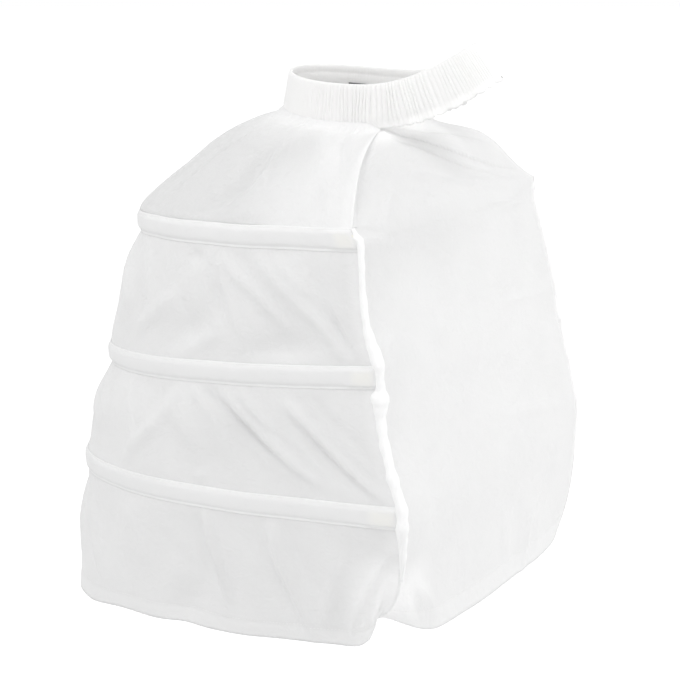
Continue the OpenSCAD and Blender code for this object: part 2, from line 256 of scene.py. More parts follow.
def band(q, out=0.0, up=0.0):
    p = loop_plan(q)
    along = loop_plan(q + 0.01) - loop_plan(q - 0.01)
    n = unit(np.stack([-along[..., 1], along[..., 0], np.zeros_like(q)], -1))
    rise = np.where(p[..., 1] < 0, front_rise, back_rise)
    p[..., 2] = rise * (2 * p[..., 1] / loop_length) ** 2 + loop_lean * p[..., 0] / loop_width
    slope = rise * 8 * p[..., 1] / loop_length ** 2
    upright = unit(np.stack([np.zeros_like(q), -slope, np.ones_like(q)], -1))
    flare = np.tan(flare_at_back * (1 + np.cos(q)) / 2)[..., None]
    return (p + np.asarray(out)[..., None] * unit(n + flare * upright)
            + np.asarray(up)[..., None] * unit(upright - flare * n))


print("back of the middle hoop:", ring("middle", np.array([0.5])).round(3).tolist())

# %% Cloth between the waist, the hoops and the hem
pucker_left, pucker_right, pucker_reach = 0.009, 0.030, 0.040
sag_left, sag_right = -0.001, 0.007
tier_puff = 0.007
yoke_swell = 0.012
cove_lift, cove_share = 0.007, 0.1


def mix(a, b, share):
    return a + (b - a) * np.asarray(share)[..., None]


def near_seam(name, t):
    inward = levels[name][2] * np.abs(np.sin(np.pi * t)) ** squareness
    return np.exp(-(inward / pucker_reach) ** 2)


def yoke_cloth(t, share):
    inside_corner = 1 - np.exp(-(t / 0.02) ** 2) - np.exp(-((1 - t) / 0.02) ** 2)
    over_ribs = 0.0010 * soft_step((0.8 - np.cos(yoke_reach * (1 - 2 * t))) / 0.7)
    cove = cove_lift * np.clip(1 - share / cove_share, 0, 1) ** 2
    top_out = 0.0008 + (0.0013 + over_ribs) * inside_corner
    top = band(yoke_reach * (1 - 2 * t), top_out, -band_half - 0.0015 + cove * inside_corner)
    away = unit(hoop_outward("upper", t) + np.array([0, 0, 1.0]))
    pinch = 0.5 + 2 * np.exp(-(t / 0.1) ** 2) + 0.5 * np.exp(-((1 - t) / 0.08) ** 2)
    swell = yoke_swell * (1.6 - 0.6 * np.sin(np.pi * t)) * np.sin(np.pi * share) ** pinch
    swell = swell * soft_step(share / cove_share)
    return mix(top, ring("upper", t, casing_half), share) + swell[..., None] * away


def tier_cloth(above, below, t, share, skew):
    puff = tier_puff * np.sin(np.pi * share ** 0.75) ** 1.4 * np.sin(np.pi * t) ** 0.5
    straight = mix(ring(above, t, -casing_half), ring(below, t, casing_half), share)
    sag = np.where(t < 0.5, sag_left, sag_right) * near_seam(below, t)
    straight[..., 1] += sag * np.sin(np.pi * share ** skew)
    return straight + puff[..., None] * hoop_outward(below, t)


def flounce_cloth(t, share):
    straight = mix(ring("lower", t, -casing_half), ring("hem", t), share)
    drawn = np.where(t < 0.5, pucker_left, pucker_right) * near_seam("hem", t) ** 1.8 * share ** 3
    puff = 0.005 * np.sin(np.pi * t) * np.sin(np.pi / 2 * share)
    corner = 0.009 * near_seam("hem", t) ** 0.4 * np.sin(np.pi / 2 * share) * (t < 0.5)
    straight[..., 1] -= corner
    straight[..., 2] -= corner * share / 3
    return straight + drawn[..., None] * np.array([0, 1.0, 1.0]) + puff[..., None] * hoop_outward("hem", t)


# %% [markdown]
# ## Even columns
# The hoop's formula crowds its points at the corners. Cloth looks best on squares of nearly one size, so the
# columns are spaced evenly along the middle hoop's length instead.

# %% Space the columns evenly along a hoop
fine_t = np.linspace(0, 1, 20001)
fine_path = ring("middle", fine_t)
walked = run_along(fine_path)
hoop_length = walked[-1]


def even_t(share):
    return np.interp(share, walked / hoop_length, fine_t)


column_count = 341
column_share = np.linspace(0, 1, column_count)
column_t = even_t(column_share)
print("middle hoop length:", round(hoop_length, 3), "m in", column_count, "columns")

# %% [markdown]
# ## Folds
# A fold in thin cloth is a soft ridge or a hollow along a line, fading at both ends. Each fold below is a
# short path in shares of the cloth's width and height, with a reach and a lift in metres. Folds could be
# sculpted by hand or simulated. Drawing them as strokes keeps each one where the real cage has it, and gives
# the same cloth on every run.

# %% Turn strokes into lift
def stroke_path(points, size, count=48):
    corners = np.array(points, float) * np.array(size)
    run = run_along(corners)
    return eased(walk(corners, run, np.linspace(0, run[-1], count)), 30)


fold_depth = 2.3


def fold_lift(strokes, across, down, size):
    lift = np.zeros_like(across)
    for points, reach, height in strokes:
        near = np.zeros_like(across)
        route = stroke_path(points, size)
        fade = np.sin(np.pi * (np.arange(len(route)) + 0.5) / len(route)) ** 0.6
        for (x, y), strength in zip(route, fade):
            apart = (across - x) ** 2 + (down - y) ** 2
            near = np.maximum(near, strength * np.exp(-apart / reach ** 2))
        lift += fold_depth * height * near
    return lift


# %% [markdown]
# ## Ripples and puckers
# Between the big folds the cloth is never flat. A few long waves in changing directions give a slack look,
# and a row of stitches draws the cloth into tiny puckers that die out within two centimetres.

# %% Slow ripples and small puckers
def ripple(across, down, seed, lengths, height):
    rng = np.random.default_rng(seed)
    total = np.zeros_like(across)
    for length in lengths:
        turn, phase = rng.uniform(0, np.pi), rng.uniform(0, 2 * np.pi)
        bend = 0.25 * length * np.sin(2 * np.pi * across / (2.3 * length) + rng.uniform(0, 6))
        total += np.cos(2 * np.pi * (across * np.cos(turn) + (down + bend) * np.sin(turn)) / length + phase)
    return height * total / math.sqrt(len(lengths))


def stitch_pucker(across, distance, seed, height, reach=0.012):
    rng = np.random.default_rng(seed)
    total = np.zeros_like(across)
    for length in (0.011, 0.017, 0.026, 0.041):
        total += np.cos(2 * np.pi * across / length + rng.uniform(0, 2 * np.pi)) * rng.uniform(0.6, 1.0)
    patches = 0.5 + 0.5 * np.cos(2 * np.pi * across / 0.19 + rng.uniform(0, 6))
    return height * total / 2 * patches * np.exp(-distance / reach) * soft_step(distance / 0.003)


# Slanting folds that lean towards the nearer side seam as they go down.
def drag_lines(seed, count, low, high):
    rng = np.random.default_rng(seed)
    strokes = []
    for i in range(count):
        start = low + (high - low) * (i + rng.uniform(0.2, 0.8)) / count
        lean = -1 if start < 0.5 else 1
        first_down, last_down = rng.uniform(0.04, 0.25), rng.uniform(0.55, 0.95)
        end = start + lean * rng.uniform(0.02, 0.06)
        reach = rng.uniform(0.007, 0.013)
        lift = rng.choice([1, 1, -1]) * rng.uniform(0.0015, 0.0035)
        strokes.append(([(start, first_down), ((start + end) / 2, (first_down + last_down) / 2 + 0.03),
                         (end, last_down)], reach, lift))
    return strokes


# %% [markdown]
# ## From points to a sheet
# A grid of points becomes a mesh of squares with a UV map in metres, so that a weave pattern keeps its scale.
# The Solidify modifier then gives the sheet the thickness of cotton, and smooth shading hides the squares.
# Three marks on its points tell the finish where the cloth is whiter, from doubled cloth and from painted
# light, where a cream tip shines through, and where painted shade makes it greyer.

# %% Make a sheet from rows of points
cloth_thickness = 0.0005


def make_sheet(name, grid, uv, thickness=cloth_thickness, outward_down=True, closed=False, layers_and_painted_light=None,
               tinge=None, painted_shade=None):
    rows, columns = grid.shape[:2]
    index = np.arange(rows * columns).reshape(rows, columns)
    right = np.roll(index, -1, axis=1)
    last = columns if closed else columns - 1
    a, d = index[:-1, :last], right[:-1, :last]
    b, c = index[1:, :last], right[1:, :last]
    order = (a, b, c, d) if outward_down else (a, d, c, b)
    faces = np.stack(order, -1).reshape(-1, 4)
    mesh = bpy.data.meshes.new(name)
    mesh.from_pydata(grid.reshape(-1, 3).tolist(), [], faces.tolist())
    flat_uv = uv.reshape(-1, 2)
    corner_uv = flat_uv[faces]
    if closed:
        full_turn = flat_uv[:, 0].max()
        wrap = corner_uv[..., 0].max(1) - corner_uv[..., 0].min(1) > full_turn / 2
        low_side = corner_uv[..., 0] < full_turn / 2
        corner_uv[..., 0] += np.where(wrap[:, None] & low_side, full_turn * columns / (columns - 1), 0)
    layer = mesh.uv_layers.new(name="UVMap")
    layer.data.foreach_set("uv", corner_uv.reshape(-1).astype(np.float32))
    sheet = bpy.data.objects.new(name, mesh)
    bpy.context.scene.collection.objects.link(sheet)
    bpy.ops.object.select_all(action="DESELECT")
    bpy.context.view_layer.objects.active = sheet
    sheet.select_set(True)
    wall = sheet.modifiers.new("cloth", "SOLIDIFY")
    wall.thickness = thickness
    wall.offset = 0
    bpy.ops.object.modifier_apply(modifier=wall.name)
    bpy.ops.object.shade_smooth()
    for label, values in (("double_and_painted_light", layers_and_painted_light), ("tinge", tinge), ("painted_shade", painted_shade)):
        values = np.zeros(grid.shape[:2]) if values is None else values
        mark = sheet.data.attributes.new(label, "FLOAT", "POINT")
        mark.data.foreach_set("value", np.tile(values.reshape(-1), 2).astype(np.float32))
    print(name, "has", len(sheet.data.polygons), "faces")
    return sheet


def grid_normals(grid):
    return unit(np.cross(np.gradient(grid, axis=0), np.gradient(grid, axis=1)))


# %% [markdown]
# ## White cotton
# The skirt is a thin plain-weave cotton. Its threads are far smaller than a picture point, so they only show
# as a fine grain when the camera comes near: two sets of waves along the UV map make the weave, and a slow
# noise changes the thickness of the threads and the tone a little. A coarser noise gives the crumpled look of
# cloth that was never ironed, the three marks change the tone, and sheen gives the soft edge of cotton fuzz.

# %% A cotton finish with weave, slubs and a little tone
tip_cream = (0.86, 0.845, 0.75)
# Grey that the third mark mixes in as painted shade.
painted_shade_grey = (0.66, 0.66, 0.66)


def cotton(name, colour, pitch=0.0007, grain=0.25, shade=0.03, sheen=0.25, thin=0.4, crease=0.35,
           double_and_painted_light_colour=None):
    finish, tree, shader = new_finish(name)
    place = add_node(tree, "ShaderNodeUVMap", uv_map="UVMap")
    axes = add_node(tree, "ShaderNodeSeparateXYZ", links={0: place.outputs[0]})
    threads = []
    for axis in (0, 1):
        turns = add_node(tree, "ShaderNodeMath", operation="MULTIPLY", links={0: axes.outputs[axis]})
        turns.inputs[1].default_value = 2 * math.pi / pitch
        threads.append(add_node(tree, "ShaderNodeMath", operation="SINE", links={0: turns.outputs[0]}))
    weave = add_node(tree, "ShaderNodeMath", operation="MULTIPLY",
                     links={0: threads[0].outputs[0], 1: threads[1].outputs[0]})
    slubs = add_node(tree, "ShaderNodeTexNoise", links={"Vector": place.outputs[0]}, Scale=900, Detail=3)
    clouds = add_node(tree, "ShaderNodeTexNoise", links={"Vector": place.outputs[0]}, Scale=14, Detail=5)
    tone = add_node(tree, "ShaderNodeValToRGB", links={0: clouds.outputs["Fac"]})
    tone.color_ramp.elements[0].position = 0.3
    tone.color_ramp.elements[1].position = 0.7
    tone.color_ramp.elements[0].color = (*[c * (1 - shade) for c in colour], 1)
    tone.color_ramp.elements[1].color = (*colour, 1)
    base = tone.outputs["Color"]
    # The first mark whitens doubled cloth and also paints light where it is given; the third mixes in painted
    # shade.
    for label, towards in (("double_and_painted_light", double_and_painted_light_colour or colour), ("tinge", tip_cream), ("painted_shade", painted_shade_grey)):
        mark = add_node(tree, "ShaderNodeAttribute", attribute_name=label)
        blend = add_node(tree, "ShaderNodeMix", data_type="RGBA", links={0: mark.outputs["Fac"], 6: base})
        blend.inputs[7].default_value = (*towards, 1)
        base = blend.outputs[2]
    tree.links.new(base, shader.inputs["Base Color"])
    rough = add_node(tree, "ShaderNodeMapRange", links={0: slubs.outputs["Fac"]}, To_Min=0.82, To_Max=0.98)
    tree.links.new(rough.outputs[0], shader.inputs["Roughness"])
    crumple = add_node(tree, "ShaderNodeTexNoise", links={"Vector": place.outputs[0]},
                       Scale=75, Detail=4, Distortion=1.2)
    creased = add_node(tree, "ShaderNodeBump", links={"Height": crumple.outputs["Fac"]},
                       Strength=crease, Distance=0.003)
    fine = add_node(tree, "ShaderNodeBump", Strength=grain, Distance=0.0001,
                    links={"Height": weave.outputs[0], "Normal": creased.outputs[0]})
    lumpy = add_node(tree, "ShaderNodeBump", Strength=grain, Distance=0.0003,
                     links={"Height": slubs.outputs["Fac"], "Normal": fine.outputs[0]})
    tree.links.new(lumpy.outputs[0], shader.inputs["Normal"])
    shader.inputs["Sheen Weight"].default_value = sheen
    shader.inputs["Sheen Roughness"].default_value = 0.6
    shader.inputs["Specular IOR Level"].default_value = 0.2
    shader.inputs["Subsurface Weight"].default_value = thin
    shader.inputs["Subsurface Radius"].default_value = (1, 1, 1)
    shader.inputs["Subsurface Scale"].default_value = 0.0015
    return finish


skirt_cotton = cotton("skirt_cotton", (0.795, 0.795, 0.795), double_and_painted_light_colour=(0.95, 0.95, 0.95))
casing_cotton = cotton("casing_cotton", (0.83, 0.83, 0.83), thin=0.25, crease=0.2,
                       double_and_painted_light_colour=(0.90, 0.90, 0.90))
print("finishes:", skirt_cotton.name, casing_cotton.name)

# %% [markdown]
# ## The back skirt
# From the upper hoop down to the hem the skirt is one cloth with three tiers. Under each casing it lies flat,
# and between the casings it hangs slack. The near side of the real one shows drag lines that slant down
# towards the side seam, so those folds are drawn one by one. The other sides get seeded drag lines, and the
# near side a few faint ones.

# %% Folds of the three tiers
faint = 0.45
tier_folds = {
    1: [([(0.82, 0.07), (0.875, 0.4), (0.914, 0.7)], 0.007, 0.0022),
        ([(0.876, 0.09), (0.912, 0.35), (0.956, 0.73), (0.968, 0.96)], 0.008, 0.0026),
        ([(0.898, 0.09), (0.934, 0.39)], 0.007, 0.0015),
        ([(0.959, 0.6), (0.976, 0.89)], 0.005, -0.002),
        ([(0.78, 0.07), (0.795, 0.14)], 0.008, -0.002),
        ([(0.816, 0.34), (0.831, 0.62)], 0.018, -0.003),
        ([(0.812, 0.65), (0.757, 0.84)], 0.016, -0.0025),
        ([(0.867, 0.9), (0.939, 0.83)], 0.014, -0.002),
        ([(0.775, 0.4), (0.705, 0.79)], 0.01, 0.002),
        ([(0.828, 0.75), (0.787, 0.95)], 0.008, 0.0015)],
    2: [([(0.833, 0.09), (0.867, 0.36), (0.9, 0.62), (0.93, 0.85)], 0.0055, 0.0045),
        ([(0.815, 0.07), (0.851, 0.34), (0.9, 0.67)], 0.009, -0.004),
        ([(0.854, 0.08), (0.888, 0.38)], 0.005, 0.0015),
        ([(0.905, 0.15), (0.919, 0.28), (0.95, 0.63), (0.981, 0.89), (0.992, 0.99)], 0.0055, 0.0048),
        ([(0.908, 0.29), (0.941, 0.59), (0.975, 0.9)], 0.009, -0.0035),
        ([(0.781, 0.05), (0.766, 0.35), (0.726, 0.76), (0.715, 0.92)], 0.009, 0.0022),
        ([(0.799, 0.09), (0.822, 0.27)], 0.006, 0.0012),
        ([(0.93, 0.09), (0.978, 0.61)], 0.008, -0.0012),
        ([(0.819, 0.85), (0.806, 1.0)], 0.006, 0.0012)],
    3: [([(0.818, 0.02), (0.824, 0.25), (0.836, 0.55), (0.842, 0.75)], 0.0055, 0.0052),
        ([(0.808, 0.09), (0.817, 0.35), (0.829, 0.64)], 0.009, -0.0025),
        ([(0.884, 0.04), (0.891, 0.35), (0.908, 0.68), (0.922, 0.95)], 0.0065, 0.0042),
        ([(0.875, 0.1), (0.886, 0.35), (0.913, 0.94)], 0.009, -0.003),
        ([(0.992, 0.15), (0.975, 0.45), (0.962, 0.69), (0.955, 0.97)], 0.0065, 0.0024),
        ([(0.985, 0.5), (0.985, 0.75), (0.98, 0.98)], 0.004, 0.0014),
        ([(0.972, 0.55), (0.97, 0.8), (0.966, 0.98)], 0.004, 0.0012),
        ([(0.945, 0.25), (0.938, 0.6), (0.93, 0.92)], 0.008, 0.0022),
        ([(0.812, 0.66), (0.787, 0.94)], 0.022, -0.004),
        ([(0.707, 0.35), (0.691, 0.9)], 0.014, 0.001)],
}
for tier, seed in ((1, 11), (2, 12), (3, 13)):
    tier_folds[tier] += drag_lines(seed, 13, 0.03, 0.66)
    near_side = drag_lines(seed + 5, 9, 0.68, 0.95)
    tier_folds[tier] += [(path, reach, faint * lift) for path, reach, lift in near_side]
print("folds drawn:", {tier: len(strokes) for tier, strokes in tier_folds.items()})


# %% Lay out the skirt's rows
def tier_lift(tier, share_down, height, open_foot=False):
    across, down = np.meshgrid(column_share * hoop_length, share_down * height)
    lift = fold_lift(tier_folds[tier], across, down, (hoop_length, height))
    lift += ripple(across, down, 20 + tier, (0.31, 0.22, 0.15, 0.11), 0.0012)
    top_distance, foot_distance = down, height - down
    lift *= soft_step(top_distance / 0.012)
    lift += stitch_pucker(across, top_distance, 30 + tier, 0.0009)
    if not open_foot:
        lift *= soft_step(foot_distance / 0.012)
        lift += stitch_pucker(across, foot_distance, 40 + tier, 0.0005)
    from_seam = np.minimum(across, hoop_length - across)
    return lift * soft_step(from_seam / 0.012)


def casing_rows(name, count, first=casing_half, last=-casing_half):
    return np.stack([ring(name, column_t, up) for up in np.linspace(first, last, count)])


def flat_rows(count):
    return np.zeros((count, column_count))


tier_heights = {1: 0.116, 2: 0.120, 3: 0.144}
lip_rows, tier_rows, strip_rows, flounce_rows = 4, 30, 9, 39
tier_share = np.arange(1, tier_rows + 1) / (tier_rows + 1)
t_grid, s_grid = np.meshgrid(column_t, tier_share)
first_tier = tier_cloth("upper", "middle", t_grid, s_grid, 1.25)
second_tier = tier_cloth("middle", "lower", t_grid, s_grid, 0.8)
flounce_share = np.arange(1, flounce_rows + 1) / flounce_rows
t_foot, s_foot = np.meshgrid(column_t, flounce_share)
flounce = flounce_cloth(t_foot, s_foot)
skirt_grid = np.concatenate([
    casing_rows("upper", lip_rows, -0.0003), first_tier, casing_rows("middle", strip_rows), second_tier,
    casing_rows("lower", strip_rows), flounce])
skirt_lift = np.concatenate([
    flat_rows(lip_rows), tier_lift(1, tier_share, tier_heights[1]), flat_rows(strip_rows),
    tier_lift(2, tier_share, tier_heights[2]), flat_rows(strip_rows),
    tier_lift(3, flounce_share, tier_heights[3], open_foot=True)])
print("skirt rows:", len(skirt_grid))

# %% [markdown]
# ## The hem
# The lowest 18 mm of the skirt is turned up and sewn. The double cloth stands a little proud, the stitch line
# draws it in, and the free edge waves gently.

# %% Shape the hem
hem_turn, hem_seam = 0.0185, 0.018
hem_distance = tier_heights[3] * (1 - flounce_share)
hem_across = column_share * hoop_length
to_near_seam = hoop_length - hem_across
to_seam = np.minimum(hem_across, to_near_seam)


def turned_up(distance):
    return soft_step((hem_turn - distance) / 0.002)


def hem_lift(distance):
    return 0.0004 * turned_up(distance) - 0.0005 * np.exp(-((distance - hem_seam) / 0.0025) ** 2)


skirt_lift[-flounce_rows:] += hem_lift(hem_distance)[:, None]
hem_wave = ripple(hem_across[None], np.zeros((1, column_count)), 51, (0.33, 0.21, 0.13, 0.083), 0.0022)
skirt_lift[-flounce_rows:] += hem_wave * (flounce_share ** 2)[:, None] * soft_step(to_seam / 0.03)
skirt_normals = grid_normals(skirt_grid)
skirt_points = skirt_grid + skirt_lift[..., None] * skirt_normals
edge_wave = ripple(hem_across, np.zeros(column_count), 52, (0.19, 0.11, 0.07), 0.0014)
edge_wave = edge_wave * soft_step(to_near_seam / 0.05) * soft_step(hem_across / 0.05)
skirt_points[-flounce_rows:, :, 2] += (flounce_share ** 3)[:, None] * edge_wave
print("hem turned up:", hem_seam, "m")

# %% [markdown]
# ## Tones of the skirt
# White cloth is whiter where it lies double: along the side seams and at the hem. At the foot of the near seam,
# where it is bunched, painted light whitens it further, and painted shade greys the slack middle tier.

# %% Mark the tones and make the skirt
skirt_down = rows_down(skirt_grid)
skirt_uv = np.stack(np.meshgrid(hem_across, -skirt_down), -1)
seam_allowance = 0.3 * soft_step((0.024 - to_seam) / 0.018)
skirt_layers_and_painted_light = np.tile(seam_allowance, (len(skirt_grid), 1))
# Painted light at the foot of the near seam, where the cloth is also bunched.
foot_bunching_and_painted_light = soft_step((flounce_share - 0.15) / 0.3)[:, None] * soft_step((0.065 - to_near_seam) / 0.05)[None]
foot_bunching_and_painted_light = np.maximum(foot_bunching_and_painted_light, 0.1 * turned_up(hem_distance)[:, None])
skirt_layers_and_painted_light[-flounce_rows:] = np.maximum(skirt_layers_and_painted_light[-flounce_rows:], foot_bunching_and_painted_light)
# Painted shade over the middle tier on the near side.
skirt_painted_shade = np.zeros(skirt_grid.shape[:2])
second_row = lip_rows + tier_rows + strip_rows
near_columns = np.exp(-((column_share - 0.86) / 0.08) ** 2)
skirt_painted_shade[second_row:second_row + tier_rows] = 0.4 * np.sin(np.pi * tier_share)[:, None] * near_columns
skirt = make_sheet("skirt_cloth", skirt_points, skirt_uv, layers_and_painted_light=skirt_layers_and_painted_light, painted_shade=skirt_painted_shade)
skirt.data.materials.append(skirt_cotton)
print("skirt cloth", round(hoop_length, 2), "by", round(skirt_down[-1], 2), "m")

# %% [markdown]
# ## The yoke
# The yoke spreads from the waistband's back half out to the upper hoop. It is pulled from a small curve to a
# large one, so it shows a deep hollow with a sharp edge behind the near side seam, and a long ridge where it
# turns over the back. At the top it laps over the band's foot in a small cove and is gathered.

# %% Lay out the yoke
yoke_folds = [
    ([(0.774, 0.33), (0.815, 0.66), (0.788, 0.94)], 0.022, -0.005),
    ([(0.778, 0.25), (0.842, 0.71), (0.836, 0.83), (0.807, 0.94)], 0.008, 0.0025),
    ([(0.825, 0.08), (0.924, 0.48)], 0.018, 0.002),
    ([(0.906, 0.13), (0.961, 0.49)], 0.010, -0.0015),
    ([(0.938, 0.72), (0.953, 0.95)], 0.010, -0.0015),
    ([(0.566, 0.1), (0.649, 0.54), (0.663, 0.96)], 0.008, 0.003),
    ([(0.63, 0.07), (0.686, 0.56), (0.691, 0.94)], 0.007, -0.002),
]
yoke_folds += drag_lines(14, 9, 0.05, 0.55)
yoke_row_count = 115
yoke_share = (1 - np.cos(np.pi * np.arange(yoke_row_count) / (yoke_row_count - 1))) / 2
t_yoke, s_yoke = np.meshgrid(column_t, yoke_share)
yoke_rows = yoke_cloth(t_yoke, s_yoke)
yoke_height = 0.165
across, down = np.meshgrid(hem_across, yoke_share * yoke_height)
yoke_lift = fold_lift(yoke_folds, across, down, (hoop_length, yoke_height))
yoke_lift += ripple(across, down, 24, (0.27, 0.19, 0.12), 0.0012)
yoke_lift *= soft_step(down / 0.02) * soft_step((yoke_height - down) / 0.012)
yoke_lift += stitch_pucker(across, yoke_height - down, 44, 0.0007)
yoke_lift += stitch_pucker(across, down, 47, 0.0007, 0.022)
yoke_lift *= soft_step(to_seam / 0.012)
print("yoke folds:", len(yoke_folds), "rows:", yoke_row_count)

# %% Tuck the yoke in at both ends and make it
top_edge = yoke_rows[0] - 0.0012 * unit(yoke_rows[1] - yoke_rows[0])
tuck = np.stack([top_edge + np.array([0, 0, 0.0004]), top_edge])
under_casing = casing_rows("upper", lip_rows, 0.0105, 0.0003)
yoke_grid = np.concatenate([tuck, yoke_rows, under_casing])
yoke_lift = np.concatenate([flat_rows(len(tuck)), yoke_lift, flat_rows(lip_rows)])
yoke_points = yoke_grid + yoke_lift[..., None] * grid_normals(yoke_grid)
yoke_down = rows_down(yoke_grid)
yoke_uv = np.stack(np.meshgrid(hem_across, -yoke_down), -1)
# Painted shade greys the yoke over the back; painted light whitens its gathered top below the band's foot.
back_columns = soft_step((0.94 - column_share) / 0.13) * soft_step((column_share - 0.06) / 0.13)
yoke_painted_shade = 0.85 * back_columns[None] * soft_step(yoke_down / yoke_down[-1] / 0.4)[:, None]
gathered_top_and_painted_light = 0.46 * (1 - soft_step((yoke_down - 0.004) / 0.034))
yoke_layers_and_painted_light = np.maximum(seam_allowance[None], gathered_top_and_painted_light[:, None])
yoke = make_sheet("yoke_cloth", yoke_points, yoke_uv, layers_and_painted_light=yoke_layers_and_painted_light, painted_shade=yoke_painted_shade)
yoke.data.materials.append(skirt_cotton)

# %% [markdown]
# ## The front panel
# The panel is a plain sheet sewn to the front edges of the yoke and the skirt. Its rows run from the left
# edge to the right edge. Beside the yoke they are straight. Further down the panel follows every hoop end near
# the seams and hangs more evenly in the middle, so the edges are eased there. A chart counts the rows: 0 at
# the waist, 1, 2 and 3 at the hoops, 4 at the hem.

# %% Lay out the panel between its edges
edge_rows = np.concatenate([yoke_rows, under_casing, skirt_grid])
left_edge, right_edge = edge_rows[:, 0], edge_rows[:, -1]
edge_easing = 220
panel_bow = 0.012
row_chart = np.concatenate([
    yoke_share, np.full(2 * lip_rows, 1.0), 1 + tier_share, np.full(strip_rows, 2.0), 2 + tier_share,
    np.full(strip_rows, 3.0), 3 + flounce_share])
panel_u = np.linspace(0, 1, 181)
behind_yoke = np.zeros(len(left_edge))
behind_yoke[:len(yoke_share)] = soft_step(yoke_share / 0.1) * soft_step((1 - yoke_share) / 0.15)
left_in = left_edge + np.array([-0.001, 0.0005, 0])
right_in = right_edge + np.array([0.001, 0.0008, 0]) + np.outer(behind_yoke, [0, 0.002, 0])
sharp = left_in[:, None] + (right_in - left_in)[:, None] * panel_u[None, :, None]
left_soft, right_soft = eased(left_in, edge_easing), eased(right_in, edge_easing)
soft = left_soft[:, None] + (right_soft - left_soft)[:, None] * panel_u[None, :, None]
toward_middle = soft_step(np.minimum(panel_u, 1 - panel_u) / 0.16)[None, :, None]
toward_middle = toward_middle * soft_step((row_chart - 0.55) / 0.5)[:, None, None]
panel_grid = sharp + (soft - sharp) * toward_middle
panel_grid[..., 1] -= panel_bow * np.minimum(row_chart, 1)[:, None] * np.sin(np.pi * panel_u)
panel_down = run_along(right_edge)
print("panel rows:", len(panel_grid))

# %% Let the hem hang even where the seams draw it up
flounce_row = np.concatenate([np.zeros(len(row_chart) - flounce_rows), flounce_share])
from_left = levels["hem"][1] * panel_u
from_right = levels["hem"][1] * (1 - panel_u)
slack = (pucker_left + (pucker_right - pucker_left) * panel_u
         - pucker_left * np.exp(-(from_left / pucker_reach) ** 2)
         - pucker_right * np.exp(-(from_right / pucker_reach) ** 2))
panel_grid[..., 1:] -= (slack[None] * flounce_row[:, None] ** 3)[..., None]
print("hem slack:", slack.min().round(3), "to", slack.max().round(3), "m")

# %% [markdown]
# ## Folds of the panel
# Four thin folds fan out from the near corner below the waist loop, and softer ones lie beside the hoop ends
# and over the hem. Each is a stroke as on the skirt, with its places in shares of the width and in the chart.

# %% Draw the panel's folds
panel_width = 0.50
panel_depth = 0.7
panel_strokes = [
    ([(0.83, 0.06), (0.774, 0.10), (0.588, 0.265), (0.438, 0.483), (0.266, 0.709), (0.063, 0.861), (0.0, 0.89)],
     0.0034, -0.0022),
    ([(0.786, 0.223), (0.516, 0.543), (0.291, 0.807), (0.12, 0.95)], 0.0034, -0.0014),
    ([(0.62, 0.09), (0.529, 0.147), (0.233, 0.382), (0.043, 0.611)], 0.0036, -0.0015),
    ([(0.46, 0.13), (0.30, 0.25), (0.10, 0.50)], 0.0040, -0.0006),
    ([(0.716, 0.65), (0.394, 0.88), (0.052, 1.0)], 0.008, 0.0014),
    ([(0.944, 0.65), (0.794, 0.72)], 0.026, -0.0018),
    ([(0.97, 0.25), (0.97, 0.98)], 0.03, -0.0016),
    ([(0.936, 1.09), (0.842, 0.91), (0.80, 0.75)], 0.012, 0.0015),
    ([(0.922, 1.79), (0.975, 1.97)], 0.005, 0.0018),
    ([(0.752, 2.95), (0.93, 3.1)], 0.010, 0.0015),
    ([(0.816, 2.69), (0.92, 2.95)], 0.014, -0.0015),
    ([(0.156, 3.12), (0.24, 3.5), (0.332, 3.95)], 0.014, -0.003),
    ([(0.292, 3.5), (0.366, 3.98)], 0.009, 0.002),
    ([(0.504, 3.31), (0.45, 3.95)], 0.012, 0.0015),
    ([(0.962, 3.46), (0.84, 3.89)], 0.007, 0.0014),
    ([(0.95, 3.6), (0.90, 3.95)], 0.006, -0.0010),
    ([(0.02, 1.02), (0.376, 0.97)], 0.007, 0.0012),
    ([(0.02, 2.0), (0.406, 1.88)], 0.008, 0.0012),
    ([(0.03, 3.0), (0.48, 2.7)], 0.008, 0.0012),
    ([(0.60, 2.0), (0.312, 2.35)], 0.030, 0.0015),
    ([(0.05, 1.95), (0.18, 1.4), (0.22, 1.1)], 0.014, -0.0012),
]
rising_chart = row_chart + np.arange(len(row_chart)) * 1e-6
metric_strokes = []
for points, reach, lift in panel_strokes:
    route = [(u * panel_width, float(np.interp(v, rising_chart, panel_down))) for u, v in points]
    metric_strokes.append((route, reach, panel_depth * lift))
across, down = np.meshgrid(panel_u * panel_width, panel_down)
panel_lift = fold_lift(metric_strokes, across, down, (1, 1))
print("panel folds:", len(panel_strokes))

# %% Add ripples, puckers and tones and make the panel
width_share = np.minimum(np.linalg.norm(right_in - left_in, axis=-1) / panel_width, 1)
panel_lift += ripple(across, down, 25, (0.36, 0.24, 0.16), 0.0016) * width_share[:, None] ** 2
side_distance = np.minimum(across, panel_width - across)
panel_lift *= soft_step(side_distance / 0.014) * soft_step(down / 0.02)
panel_lift += stitch_pucker(down, side_distance, 45, 0.0008)
panel_hem = panel_down[-1] - down
panel_lift += hem_lift(panel_hem)
panel_normals = -grid_normals(panel_grid)
panel_points = panel_grid + panel_lift[..., None] * panel_normals
panel_uv = np.stack(np.meshgrid(panel_u * panel_width, -panel_down), -1)
panel_layers_and_painted_light = np.maximum(0.1 * turned_up(panel_hem), 0.25 * soft_step((0.010 - side_distance) / 0.003))
# Painted shade greys the panel beside the yoke's edge.
beside_yoke = soft_step((row_chart - 0.15) / 0.25) * soft_step((1.6 - row_chart) / 0.9)
panel_painted_shade = 0.6 * beside_yoke[:, None] * soft_step((0.36 - panel_width + across) / 0.22)
